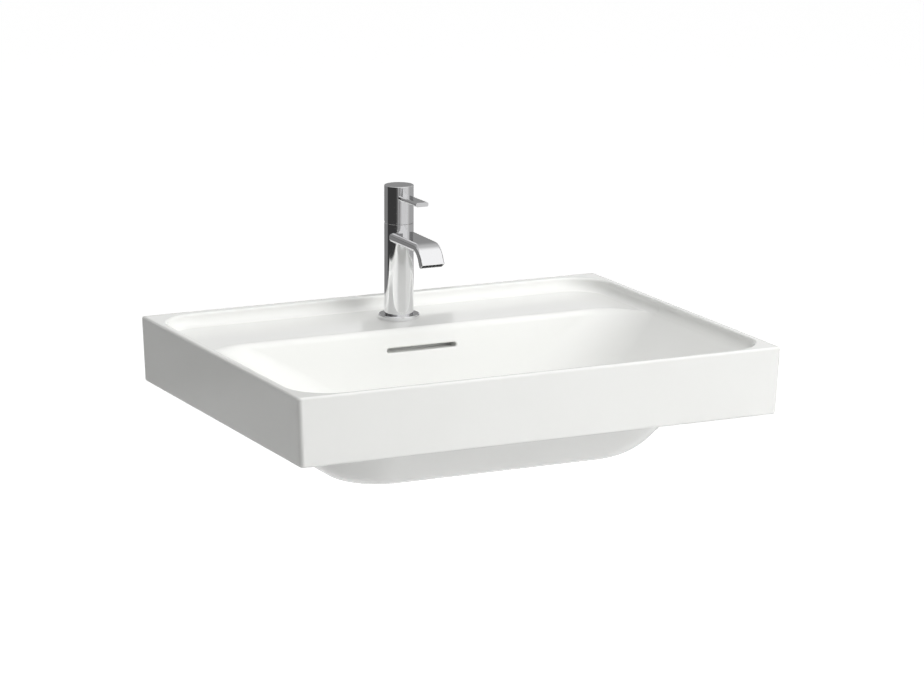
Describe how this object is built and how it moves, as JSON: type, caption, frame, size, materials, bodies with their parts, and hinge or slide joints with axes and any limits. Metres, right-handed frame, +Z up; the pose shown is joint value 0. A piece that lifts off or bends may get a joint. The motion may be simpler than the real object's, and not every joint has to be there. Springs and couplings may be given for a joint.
{
  "type": "wall-hung washbasin with tap",
  "caption": "Rectangular wall-hung ceramic washbasin with a tap ledge, overflow slot, single-lever mixer tap and push-button waste.",
  "frame": {"origin": "midway between the two wall-fixing holes, on the basin's back face", "axes": "+Y into the wall, +X to the right of someone who stands at the basin, +Z up"},
  "size_m": [0.5998, 0.4599, 0.3112],
  "materials": {
    "china": "gloss white glaze",
    "chrome": "polished",
    "brass": "machined",
    "steel": "zinc plated",
    "rubber": "matt",
    "white_plastic": "moulded",
    "grey_plastic": "moulded",
    "disc_ceramic": "ground"
  },
  "bodies": {
    "basin_and_fittings": {"basin": "china", "base_seal": "rubber", "base_ring": "chrome", "tap_body": "chrome", "tap_spout": "chrome", "spout_insert": "grey_plastic", "port_seals": "rubber", "cartridge_plate": "white_plastic", "fixed_disc": "disc_ceramic", "cartridge_housing": "white_plastic", "bore_seal": "rubber", "cartridge_nut": "brass", "fixing_stud": "steel", "clamp_pad": "rubber", "clamp_plate": "steel", "clamp_nut": "brass", "flange_seal": "rubber", "waste_body": "chrome", "lower_seal": "rubber", "waste_nut": "brass", "click_hub": "white_plastic", "plug_spring": "steel"},
    "cartridge_driver": {"driver": "grey_plastic", "pivot_pin": "steel"},
    "lever": {"handle": "chrome", "handle_screw": "steel", "screw_plug": "chrome", "lever_stem": "steel"},
    "mixing_disc": {"moving_disc": "disc_ceramic", "disc_carrier": "grey_plastic"},
    "plug": {"plug_cap": "chrome", "plug_seal": "rubber", "plug_stem": "brass"}
  },
  "joints": [
    {"name": "temperature_swivel", "type": "hinge", "parent": "basin_and_fittings", "child": "cartridge_driver", "pos_m": [0, -0.071, 0.154], "axis": [0, 0, 1], "range_deg": [-45, 45]},
    {"name": "flow_lift", "type": "hinge", "parent": "cartridge_driver", "child": "lever", "pos_m": [0, -0.071, 0.154], "axis": [-1, 0, 0], "range_deg": [0, 15]},
    {"name": "disc_travel", "type": "slide", "parent": "cartridge_driver", "child": "mixing_disc", "axis": [0, -1, 0], "range_m": [0, 0.0032]},
    {"name": "plug_lift", "type": "slide", "parent": "basin_and_fittings", "child": "plug", "axis": [0, 0, 1], "range_m": [0, 0.008], "deforming": ["plug_spring"]}
  ],
  "couplings": [
    {"joint": "disc_travel", "follows": "flow_lift", "m_per_rad": 0.0118}
  ]
}
